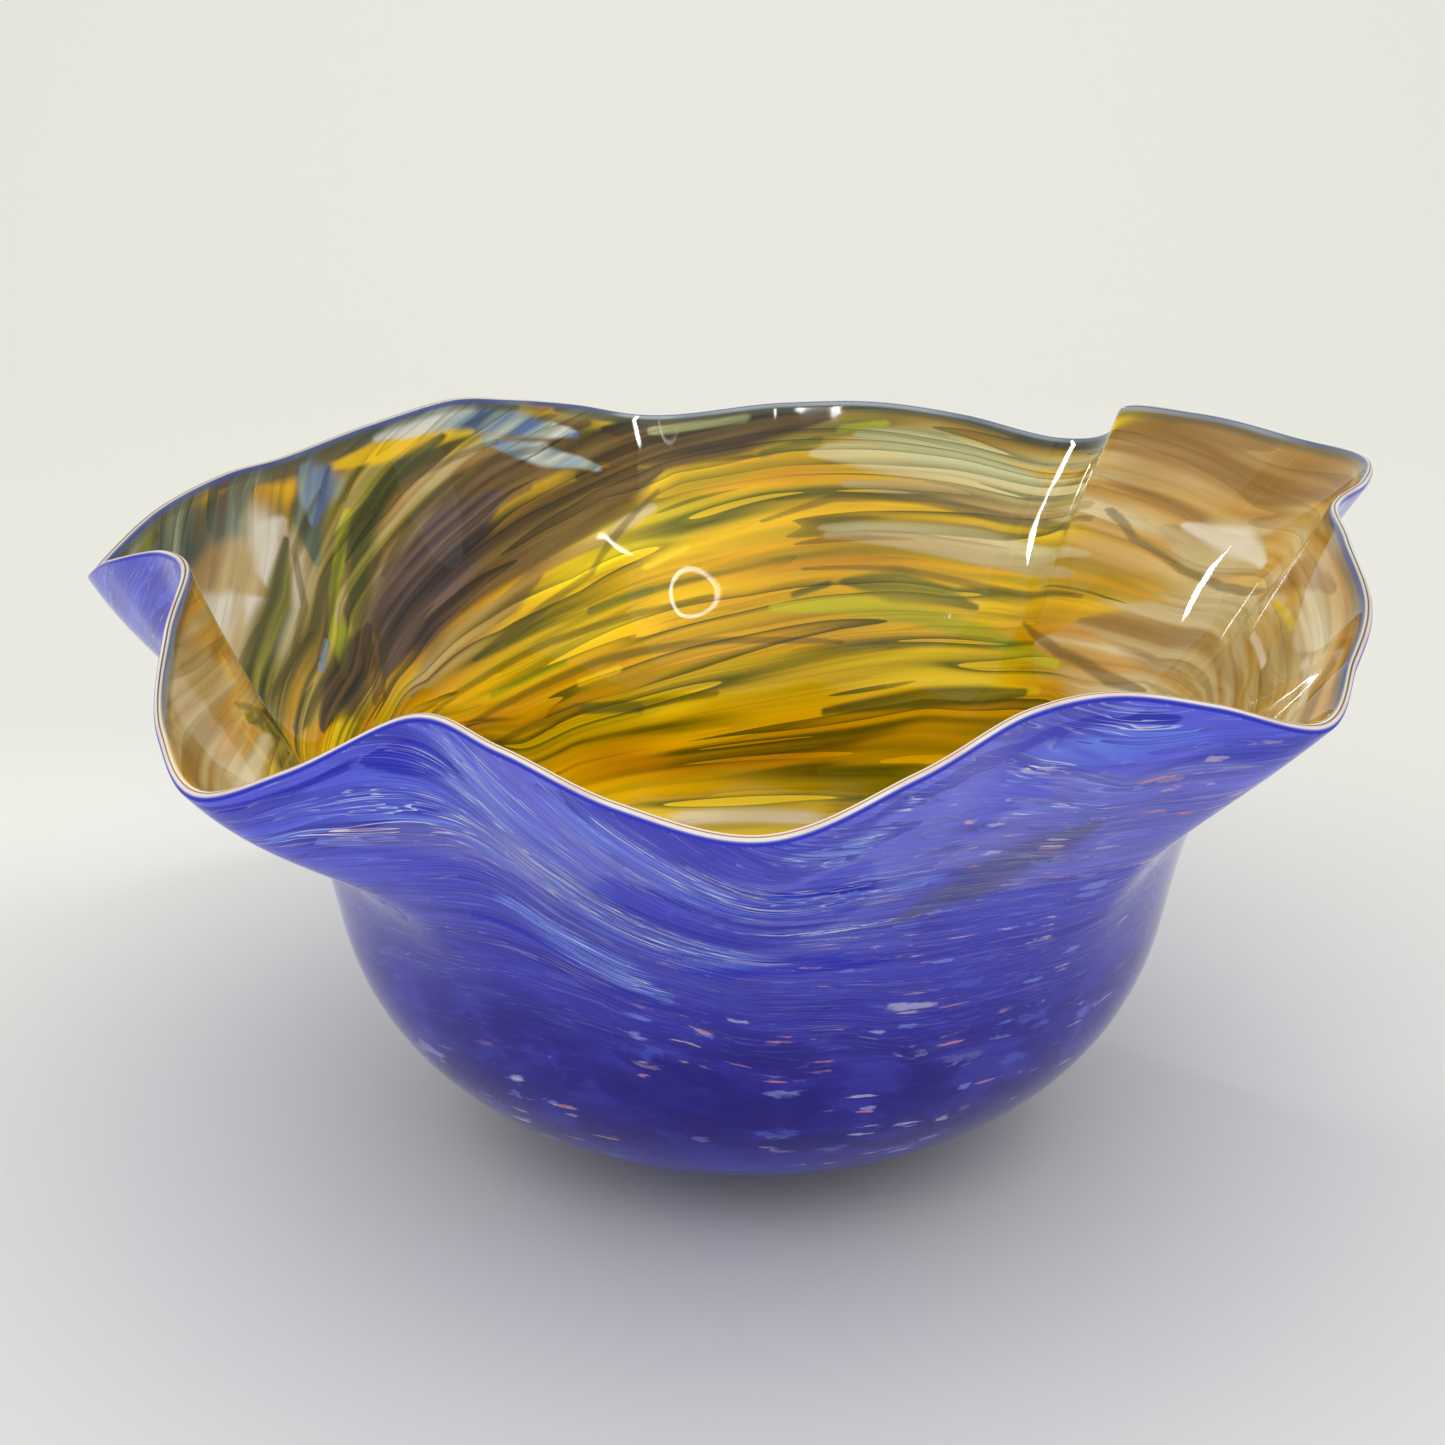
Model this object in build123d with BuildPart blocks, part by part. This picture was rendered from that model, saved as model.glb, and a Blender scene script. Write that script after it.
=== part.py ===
from build123d import *
import os
from math import cos, hypot, radians, sin, sqrt

# Blown and cased glass bowl with a ruffled rim.
# Millimetres, +Z up, origin at the centre of the flat ground foot.
# +X is the right of the bowl, -Y is its front.
# Azimuths are degrees counter-clockwise seen from above, from +X.

# Section through the round body, from the foot to where the wall leans out
FOOT_RADIUS = 38.0        # flat foot ground across the bottom
FOOT_SLOPE = 19.0         # degrees the body rises at the edge of the foot
FOOT_HANDLE = 31.5
BELLY_RADIUS = 110.5      # the wall at the top of the round body
BELLY_HEIGHT = 67.0
BELLY_SLOPE = 80.5        # degrees from level, nearly upright
BELLY_HANDLE = 43.0

# Section through the flare above it, as shares of its width and height
FLARE_HANDLE = 0.39       # share of the flare's length that stays upright
LIP_PULL_OUT = 0.55
LIP_PULL_UP = 0.58
PULL_SKEW = 0.12          # the left side is fuller than the right

# The three cased layers of the wall, outside to inside
OVERLAY_THICK = 1.6
OPAL_THICK = 1.5
LINING_THICK = 2.3
LIP_CREST = 1.3           # height of the fire-polished round on the lip
LIP_THINNING = 0.5        # share of the wall's thickness lost up to the lip
OVERLAY_FLOOR = 5.0       # top of the overlay over the foot
OPAL_FLOOR = 6.5          # top of the opal gather over the foot
LINING_FLOOR = 11.0       # inside floor of the bowl
FLOOR_SPOT = 9.0          # small level disc in the middle of each floor

# Ground pontil mark set flush in the foot
PONTIL_RADIUS = 19.0
PONTIL_DEPTH = 2.2

# Ruffle of the rim: azimuth, radius and height of its outer edge.
# Crests stand high and close in, troughs hang low and far out.
RUFFLE = [
    (1, 152.5, 168), (8, 165, 167), (15, 176, 167), (27, 178, 165),
    (37, 167, 168), (43, 154, 169), (47, 166, 159), (56, 180, 149),
    (66, 172, 155), (75, 168, 158), (86, 171, 156), (101, 178, 151),
    (109, 168, 158), (119, 155, 165), (128, 148, 169), (137, 155, 164),
    (149, 160, 159), (158, 160, 160), (168, 166, 156), (179, 172, 148),
    (189, 162, 159), (199, 149, 168), (207, 148, 169), (216, 161, 162),
    (225, 177, 150), (232, 183, 144), (237, 175, 150), (244, 161, 161),
    (252, 166, 159), (261, 175, 153), (270, 179, 149), (280, 170, 157),
    (290, 157, 163), (298, 155, 163), (306, 161, 158), (313, 172, 152),
    (321, 166, 159), (331, 159, 163), (343, 149, 169),
]

RING_POINTS = 144         # points on each ring of the wall
BODY_RINGS = 7            # rings between the foot and the belly
FLARE_RINGS = 9           # rings between the belly and the rim

WALL_THICK = OVERLAY_THICK + OPAL_THICK + LINING_THICK


def rim_at(azimuth, column):
    """Smooth value between the ruffle's points, going round the rim."""
    count = len(RUFFLE)
    turned = (azimuth - RUFFLE[0][0]) % 360 + RUFFLE[0][0]
    low = max(i for i in range(count) if RUFFLE[i][0] <= turned)

    def knot(i):
        return RUFFLE[i % count][0] + 360 * (i // count)

    def value(i):
        return RUFFLE[i % count][column]

    def slope(i):
        after = knot(i + 1) - knot(i)
        before = knot(i) - knot(i - 1)
        rise_after = (value(i + 1) - value(i)) / after
        rise_before = (value(i) - value(i - 1)) / before
        return (rise_after * before + rise_before * after) / (before + after)

    span = knot(low + 1) - knot(low)
    t = (turned - knot(low)) / span
    from_value = (2 * t**3 - 3 * t**2 + 1) * value(low)
    to_value = (3 * t**2 - 2 * t**3) * value(low + 1)
    from_slope = (t**3 - 2 * t**2 + t) * span * slope(low)
    to_slope = (t**3 - t**2) * span * slope(low + 1)
    return from_value + to_value + from_slope + to_slope


def curve(ends, s):
    """Point and unit direction on a cubic curve with four control points."""
    weights = ((1 - s) ** 3, 3 * s * (1 - s) ** 2, 3 * s**2 * (1 - s), s**3)
    rates = ((1 - s) ** 2, 2 * s * (1 - s), s**2)
    out = sum(w * p[0] for w, p in zip(weights, ends))
    up = sum(w * p[1] for w, p in zip(weights, ends))
    go_out = sum(w * (b[0] - a[0]) for w, a, b in zip(rates, ends, ends[1:]))
    go_up = sum(w * (b[1] - a[1]) for w, a, b in zip(rates, ends, ends[1:]))
    size = hypot(go_out, go_up)
    return out, up, go_out / size, go_up / size


def body_point(share, depth, start, slope):
    """Radius and height on the round body, from a floor to the belly."""
    lean, rise = cos(radians(BELLY_SLOPE)), sin(radians(BELLY_SLOPE))
    end = (BELLY_RADIUS - depth * rise, BELLY_HEIGHT + depth * lean)
    reach = FOOT_HANDLE + FOOT_RADIUS - start[0]
    first = (start[0] + reach * cos(slope), start[1] + reach * sin(slope))
    last = (end[0] - BELLY_HANDLE * lean, end[1] - BELLY_HANDLE * rise)
    out, up, go_out, go_up = curve((start, first, last, end), share)
    return out, up


def flare_point(share, depth, rise, azimuth):
    """Radius and height on the flare, share 0 at the belly, 1 at the lip."""
    width = rim_at(azimuth, 1) - BELLY_RADIUS
    height = rim_at(azimuth, 2) - BELLY_HEIGHT
    slope = radians(BELLY_SLOPE)
    reach = FLARE_HANDLE * hypot(width, height)
    pull_out = LIP_PULL_OUT - PULL_SKEW * cos(radians(azimuth))
    shape = (
        (0, 0),
        (reach * cos(slope), reach * sin(slope)),
        (pull_out * width, LIP_PULL_UP * height),
        (width, height),
    )
    out, up, go_out, go_up = curve(shape, share)
    deep = depth * (1 - LIP_THINNING * share**2)
    return (
        BELLY_RADIUS + out - deep * go_up + rise * go_out,
        BELLY_HEIGHT + up + deep * go_out + rise * go_up,
    )


def crest(depth):
    """Height of the lip's round above its two edges, at a depth."""
    across = 2 * depth / WALL_THICK - 1
    return LIP_CREST * sqrt(max(0, 1 - across**2))


def ring(point_at):
    """Closed curve round the bowl through a point at each azimuth."""
    places = []
    for step in range(RING_POINTS):
        azimuth = step * 360 / RING_POINTS
        out, up = point_at(azimuth)
        turn = radians(azimuth)
        places.append((out * cos(turn), out * sin(turn), up))
    even = [step / RING_POINTS for step in range(RING_POINTS + 1)]
    with BuildLine() as line:
        add(Edge.make_spline(places, periodic=True, parameters=even))
    return line.wire()


def lip_ring(depth):
    return ring(lambda a: flare_point(1, depth, crest(depth), a))


def skin(depth, start, slope):
    """One surface of the wall, from the edge of its level floor to the lip."""
    rings = []
    for i in range(BODY_RINGS):
        share = i / BODY_RINGS
        rings.append(ring(lambda a: body_point(share, depth, start, slope)))
    for i in range(FLARE_RINGS + 1):
        share = i / FLARE_RINGS
        rise = crest(depth) * share**2
        rings.append(ring(lambda a: flare_point(share, depth, rise, a)))
    return Shell.make_loft(rings)


def closed_edges(shell):
    """The closed edges of a skin, lowest first."""
    loops = [e for e in shell.edges() if e.is_closed]
    return sorted(loops, key=lambda e: e.center().Z)


def floor_of(shell):
    return Face(Wire([closed_edges(shell)[0]]))


def layer(outer, inner, depth_out, depth_in):
    """Closed solid between two skins, with its share of the lip's round."""
    lip_out = Wire([closed_edges(outer)[-1]])
    lip_in = Wire([closed_edges(inner)[-1]])
    middle = []
    for share in (0.25, 0.5, 0.75):
        middle.append(lip_ring(depth_out + share * (depth_in - depth_out)))
    band = Shell.make_loft([lip_out, *middle, lip_in])
    sides = outer.faces() + inner.faces() + band.faces()
    return Solid(Shell([*sides, floor_of(outer), floor_of(inner)]))


SKINS = [
    skin(0, (FOOT_RADIUS, 0), radians(FOOT_SLOPE)),
    skin(OVERLAY_THICK, (FLOOR_SPOT, OVERLAY_FLOOR), 0),
    skin(OVERLAY_THICK + OPAL_THICK, (FLOOR_SPOT, OPAL_FLOOR), 0),
    skin(WALL_THICK, (FLOOR_SPOT, LINING_FLOOR), 0),
]

os.makedirs("parts", exist_ok=True)

# Outer gather of cobalt glass, with the pocket of the pontil mark
with BuildPart() as blue_overlay:
    add(layer(SKINS[0], SKINS[1], 0, OVERLAY_THICK))
    with BuildSketch(Plane.XY):
        Circle(PONTIL_RADIUS)
    extrude(amount=PONTIL_DEPTH, mode=Mode.SUBTRACT)
blue_overlay.part.label = "blue_overlay"
export_step(blue_overlay.part, "parts/blue_overlay.step")

# White opal gather cased between the two colours
with BuildPart() as opal_core:
    add(layer(SKINS[1], SKINS[2], OVERLAY_THICK, OVERLAY_THICK + OPAL_THICK))
opal_core.part.label = "opal_core"
export_step(opal_core.part, "parts/opal_core.step")

# Amber and green lining, the inside surface of the bowl
with BuildPart() as amber_lining:
    add(layer(SKINS[2], SKINS[3], OVERLAY_THICK + OPAL_THICK, WALL_THICK))
amber_lining.part.label = "amber_lining"
export_step(amber_lining.part, "parts/amber_lining.step")

# Disc of glass left by the pontil rod, ground flush with the foot
with BuildPart() as pontil_button:
    with BuildSketch(Plane.XY):
        Circle(PONTIL_RADIUS)
    extrude(amount=PONTIL_DEPTH)
pontil_button.part.label = "pontil_button"
export_step(pontil_button.part, "parts/pontil_button.step")
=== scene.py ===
from math import radians, cos, sin, pi
import bpy
import numpy as np
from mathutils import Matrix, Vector


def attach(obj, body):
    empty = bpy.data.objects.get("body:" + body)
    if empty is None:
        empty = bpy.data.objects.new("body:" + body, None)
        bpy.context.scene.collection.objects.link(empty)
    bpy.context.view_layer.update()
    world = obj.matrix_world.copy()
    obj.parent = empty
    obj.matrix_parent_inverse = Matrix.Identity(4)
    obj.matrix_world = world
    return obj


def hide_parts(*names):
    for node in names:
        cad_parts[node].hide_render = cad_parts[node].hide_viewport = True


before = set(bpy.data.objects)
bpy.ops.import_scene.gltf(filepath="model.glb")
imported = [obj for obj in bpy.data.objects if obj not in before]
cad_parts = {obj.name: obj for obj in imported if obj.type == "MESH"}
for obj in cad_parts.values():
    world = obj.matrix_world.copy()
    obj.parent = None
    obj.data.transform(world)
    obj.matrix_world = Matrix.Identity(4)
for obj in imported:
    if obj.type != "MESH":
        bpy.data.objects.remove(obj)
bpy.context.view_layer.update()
scene = bpy.context.scene
scene.view_settings.view_transform = "Standard"

# ---------------------------------------------------------------- shape, in millimetres
# The lip: (azimuth, radius, height). Azimuth 0 is +X, 90 the back, 180 the left and 270 the front.
RUFFLE = [
    (1, 152.5, 168), (8, 165, 167), (15, 176, 167), (27, 178, 165),
    (37, 167, 168), (43, 154, 169), (47, 166, 159), (56, 180, 149),
    (66, 172, 155), (75, 168, 158), (86, 171, 156), (101, 178, 151),
    (109, 168, 158), (119, 155, 165), (128, 148, 169), (137, 155, 164),
    (149, 160, 159), (158, 160, 160), (168, 166, 156), (179, 172, 148),
    (189, 162, 159), (199, 149, 168), (207, 148, 169), (216, 161, 162),
    (225, 177, 150), (232, 183, 144), (237, 175, 150), (244, 161, 161),
    (252, 166, 159), (261, 175, 153), (270, 179, 149), (280, 170, 157),
    (290, 157, 163), (298, 155, 163), (306, 161, 158), (313, 172, 152),
    (321, 166, 159), (331, 159, 163), (343, 149, 169),
]
FOOT_RADIUS, FOOT_SLOPE, FOOT_HANDLE = 38.0, 19.0, 31.5
BELLY_RADIUS, BELLY_HEIGHT, BELLY_SLOPE, BELLY_HANDLE = 110.5, 67.0, 80.5, 43.0
FLARE_HANDLE, LIP_PULL_OUT, LIP_PULL_UP, PULL_SKEW = 0.39, 0.55, 0.58, 0.12
WALL, CREST, SPOT, THINNING = 5.4, 1.3, 9.0, 0.5
PONTIL_RADIUS, PONTIL_DEPTH, PONTIL_INNER, PONTIL_GAP = 19.0, 2.2, 4.0, 0.3
# Depth below the outside, and height over the foot, of the four skins between the gathers
OUTSIDE, BLUE_TO_OPAL, OPAL_TO_AMBER, INSIDE = range(4)
DEPTHS = (0.0, 1.6, 3.1, WALL)
FLOORS = (0.0, 5.0, 6.5, 11.0)
TURNS = 720                      # columns round the bowl
AZ = np.arange(TURNS) * 360.0 / TURNS


def rim_at(column, q):
    """RUFFLE's radius (column 1) or height (2) at azimuths q, through a smooth closed curve."""
    az = np.array([p[0] for p in RUFFLE], float)
    v = np.array([p[column] for p in RUFFLE], float)
    n = len(az)
    q = np.mod(q - az[0], 360) + az[0]
    i = np.clip(np.searchsorted(az, q, side="right") - 1, 0, n - 1)
    h = np.where(i + 1 < n, az[(i + 1) % n], az[0] + 360) - az[i]

    def slope(k):
        a = np.mod(az[(k + 1) % n] - az[k], 360)
        b = np.mod(az[k] - az[k - 1], 360)
        return ((v[(k + 1) % n] - v[k]) / a * b + (v[k] - v[k - 1]) / b * a) / (a + b)

    t = (q - az[i]) / h
    return ((2 * t**3 - 3 * t**2 + 1) * v[i] + (3 * t**2 - 2 * t**3) * v[(i + 1) % n]
            + (t**3 - 2 * t**2 + t) * h * slope(i) + (t**3 - t**2) * h * slope((i + 1) % n))


def curve(p, s):
    """Radius, height and unit direction at s on the Bezier curve with the four points p."""
    w = ((1 - s) ** 3, 3 * s * (1 - s) ** 2, 3 * s**2 * (1 - s), s**3)
    g = ((1 - s) ** 2, 2 * s * (1 - s), s**2)
    r = sum(a * b[0] for a, b in zip(w, p))
    z = sum(a * b[1] for a, b in zip(w, p))
    dr = sum(a * (c[0] - b[0]) for a, b, c in zip(g, p, p[1:]))
    dz = sum(a * (c[1] - b[1]) for a, b, c in zip(g, p, p[1:]))
    n = np.hypot(dr, dz)
    return r, z, dr / n, dz / n


def crest(d):
    """Height of the lip's rounded top over the wall's end, at depth d in the wall."""
    return CREST * np.sqrt(max(0.0, 1 - (2 * d / WALL - 1) ** 2))


def body_row(s, level):
    """(radius, height) of one row of the round body."""
    d = DEPTHS[level]
    lean, rise = cos(radians(BELLY_SLOPE)), sin(radians(BELLY_SLOPE))
    if level == OUTSIDE:
        start, slope = (FOOT_RADIUS, 0.0), radians(FOOT_SLOPE)
    else:
        start, slope = (SPOT, FLOORS[level]), 0.0
    end = (BELLY_RADIUS - d * rise, BELLY_HEIGHT + d * lean)
    reach = FOOT_HANDLE + FOOT_RADIUS - start[0]
    first = (start[0] + reach * cos(slope), start[1] + reach * sin(slope))
    last = (end[0] - BELLY_HANDLE * lean, end[1] - BELLY_HANDLE * rise)
    r, z, _, _ = curve((start, first, last, end), s)
    return np.full(TURNS, r), np.full(TURNS, z)


RIM_R, RIM_Z = rim_at(1, AZ), rim_at(2, AZ)


def flare_row(s, d, rise):
    """(radius, height) of one row of the flare, at depth d in the wall and raised by rise."""
    w, h = RIM_R - BELLY_RADIUS, RIM_Z - BELLY_HEIGHT
    a = radians(BELLY_SLOPE)
    reach = FLARE_HANDLE * np.hypot(w, h)
    pull = LIP_PULL_OUT - PULL_SKEW * np.cos(np.radians(AZ))
    zero = np.zeros(TURNS)
    o, u, go, gu = curve(((zero, zero), (reach * cos(a), reach * sin(a)),
                          (pull * w, LIP_PULL_UP * h), (w, h)), s)
    deep = d * (1 - THINNING * s**2)
    return BELLY_RADIUS + o - deep * gu + rise * go, BELLY_HEIGHT + u + deep * go + rise * gu


# A row of a mesh is (radius, height, v, depth): v is -1 at the floor's edge, 0 at the belly and 1 at the lip,
# and depth is 0 outside and 1 inside the wall.
FLOOR_V = -1.05


def skin_rows(level, n_body, n_flare):
    """Rows of one skin, from the edge of the floor up to the lip."""
    rows, depth = [], DEPTHS[level] / WALL
    for i in range(n_body):
        s = i / n_body
        rows.append((*body_row(s, level), s - 1, depth))
    for i in range(n_flare + 1):
        s = i / n_flare
        rows.append((*flare_row(s, DEPTHS[level], crest(DEPTHS[level]) * s**2), s, depth))
    return rows


def lip_rows(d0, d1, n):
    """Rows over the lip from depth d0 to d1, closer together where the lip turns down."""
    rows = []
    for i in range(1, n):
        if d0 == DEPTHS[OUTSIDE]:
            t = 1 - cos(pi / 2 * i / n)
        elif d1 == WALL:
            t = sin(pi / 2 * i / n)
        else:
            t = i / n
        d = d0 + (d1 - d0) * t
        rows.append((*flare_row(1.0, d, crest(d)), 1.0, d / WALL))
    return rows


def disc_rows(r0, r1, z, n, v):
    """Rows of a flat ring under the bowl."""
    return [(np.full(TURNS, r0 + (r1 - r0) * i / n), np.full(TURNS, z), v, 0.0) for i in range(n)]


# ---------------------------------------------------------------- how the colours flow
V_WEIGHT = 0.85                  # how far apart two values of v are, against two points a radian apart
SMOOTHING = 0.004
MM_PER_DEGREE, MM_PER_V = 2.3, 125.0
THINNEST_END, BROAD_STROKE = 2.6, 30
THIN_TIP, BROAD_TIP = 0.08, 0.5  # how wide a stroke is at its ends, as a share of its width


def smooth_field(lines, az, v):
    """A smooth field through given level lines: [(value, [(azimuth, v), ...]), ...]."""
    pts, val = [], []
    for value, line in lines:
        for a, f in line:
            pts.append((cos(radians(a)), sin(radians(a)), f * V_WEIGHT))
            val.append(value)
    pts, val = np.array(pts), np.array(val, float)
    n = len(pts)
    k = np.linalg.norm(pts[:, None] - pts[None], axis=-1)
    m = np.zeros((n + 4, n + 4))
    m[:n, :n] = k - SMOOTHING * np.eye(n)
    m[:n, n:] = np.c_[np.ones(n), pts]
    m[n:, :n] = m[:n, n:].T
    w = np.linalg.solve(m, np.r_[val, np.zeros(4)])
    q = np.stack([np.cos(np.radians(az)), np.sin(np.radians(az)), v * V_WEIGHT], -1)
    out = np.zeros(len(q))
    for i in range(n):
        out += w[i] * np.linalg.norm(q - pts[i], axis=1)
    return out + w[n] + q @ w[n + 1:]


def band(az, v, line):
    """1 on a given line of (azimuth, v, width), falling to 0 at its width to each side."""
    mid = sum(p[0] for p in line) / len(line)
    x = ((az - mid + 180) % 360 - 180) * MM_PER_DEGREE
    y = v * MM_PER_V
    pts = [((a - mid) * MM_PER_DEGREE, f * MM_PER_V, w) for a, f, w in line]
    for end, (px, py, width) in ((0, pts[0]), (-1, pts[-1])):
        tip = THIN_TIP if width < BROAD_STROKE else BROAD_TIP
        pts[end] = (px, py, max(THINNEST_END, width * tip))
    best = np.zeros(len(az))
    for (x0, y0, w0), (x1, y1, w1) in zip(pts, pts[1:]):
        dx, dy = x1 - x0, y1 - y0
        t = np.clip(((x - x0) * dx + (y - y0) * dy) / (dx * dx + dy * dy + 1e-9), 0, 1)
        d = np.hypot(x - x0 - t * dx, y - y0 - t * dy)
        best = np.maximum(best, 1 - d / (w0 + (w1 - w0) * t))
    return best * best * (3 - 2 * best)


def paint(az, v, bands):
    out = np.zeros(len(az))
    for line in bands:
        out = np.maximum(out, band(az, v, line))
    return out


# Level lines of each skin's flow: (value, [(azimuth, v), ...])
INNER_FLOW = [
    (-110, [(a, -1.0) for a in range(0, 360, 45)]),
    (-25, [(50, -.15), (70, -.18), (90, -.2), (110, -.2), (130, -.22), (170, -.2), (250, -.2), (320, -.2),
            (10, -.2)]),
    (0, [(140, .02), (120, -.02), (100, 0), (80, .05), (60, .15), (45, .20), (38, .22), (20, .30),
            (0, .36)]),
    (20, [(146, .12), (130, .07), (110, .13), (90, .20), (75, .27), (60, .32), (45, .36), (35, .36),
            (20, .38), (5, .46)]),
    (40, [(150, .20), (140, .19), (120, .25), (105, .32), (90, .39), (75, .45), (60, .48), (48, .50),
            (35, .50), (20, .52), (5, .60)]),
    (60, [(152, .25), (145, .27), (130, .35), (115, .44), (105, .52), (95, .58), (85, .64), (75, .67),
            (60, .71), (48, .73), (35, .66), (25, .64), (12, .72)]),
    (80, [(154, .30), (148, .36), (140, .44), (130, .53), (118, .62), (108, .72), (98, .82), (85, .85),
            (70, .86), (55, .86), (40, .84), (25, .80), (10, .85)]),
    (100, [(156, .36), (150, .45), (143, .53), (133, .64), (122, .74), (110, .83), (100, .95)]),
    (120, [(160, .42), (152, .55), (145, .63), (138, .71), (128, .82), (118, .90), (112, .96)]),
    (140, [(170, .45), (160, .53), (153, .65), (147, .72), (140, .80), (132, .90), (125, .97)]),
    (160, [(188, .42), (178, .48), (168, .57), (160, .66), (153, .78), (148, .88), (145, .98), (200, .35),
            (215, .45), (230, .55)]),
    (180, [(190, .55), (180, .60), (170, .72), (162, .85), (158, .97)]),
    (200, [(190, .75), (180, .80), (172, .92), (168, 1.0), (205, .62), (215, .70), (225, .82)]),
    (240, [(205, .90), (215, .97)]),
    (20, [(320, .30)]),
    (60, [(320, .75)]),
    (40, [(290, .20)]),
    (90, [(290, .80)]),
    (80, [(260, .20)]),
    (140, [(260, .80)]),
]
OUTER_FLOW = [
    (-110, [(a, -1.0) for a in range(0, 360, 45)]),
    (-55, [(a, -.5) for a in range(0, 360, 45)]),
    (0, [(225, -.05), (245, 0), (265, -.04), (285, -.08), (305, -.1), (325, -.12)]),
    (20, [(200, .05), (225, .15), (240, .17), (252, .13), (262, .08), (280, .03), (300, 0), (320, -.02)]),
    (40, [(195, .15), (215, .28), (230, .36), (240, .36), (247, .28), (255, .19), (268, .12), (285, .08),
            (305, .07), (325, .08)]),
    (60, [(190, .30), (205, .45), (220, .58), (232, .62), (241, .54), (248, .38), (256, .28), (268, .20),
            (285, .16), (305, .15), (325, .18)]),
    (80, [(190, .50), (205, .68), (220, .80), (235, .85), (244, .68), (250, .53), (259, .38), (270, .30),
            (285, .24), (305, .22), (325, .28)]),
    (100, [(240, .97), (248, .76), (255, .60), (263, .46), (272, .38), (288, .31), (305, .30),
            (325, .40)]),
    (120, [(248, .97), (255, .80), (262, .66), (270, .53), (280, .44), (292, .39), (308, .38),
            (325, .50)]),
    (140, [(257, .97), (264, .82), (272, .67), (281, .56), (292, .49), (306, .47), (322, .60)]),
    (160, [(266, .97), (273, .83), (281, .70), (291, .61), (303, .57), (318, .72)]),
    (180, [(275, .97), (283, .84), (292, .73), (303, .68), (316, .85)]),
    (200, [(285, .97), (293, .86), (303, .80), (313, .95)]),
    (20, [(0, 0), (45, 0), (90, 0), (135, 0)]),
    (150, [(0, .9), (45, .9), (90, .9), (135, .9), (165, .8)]),
]

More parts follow.
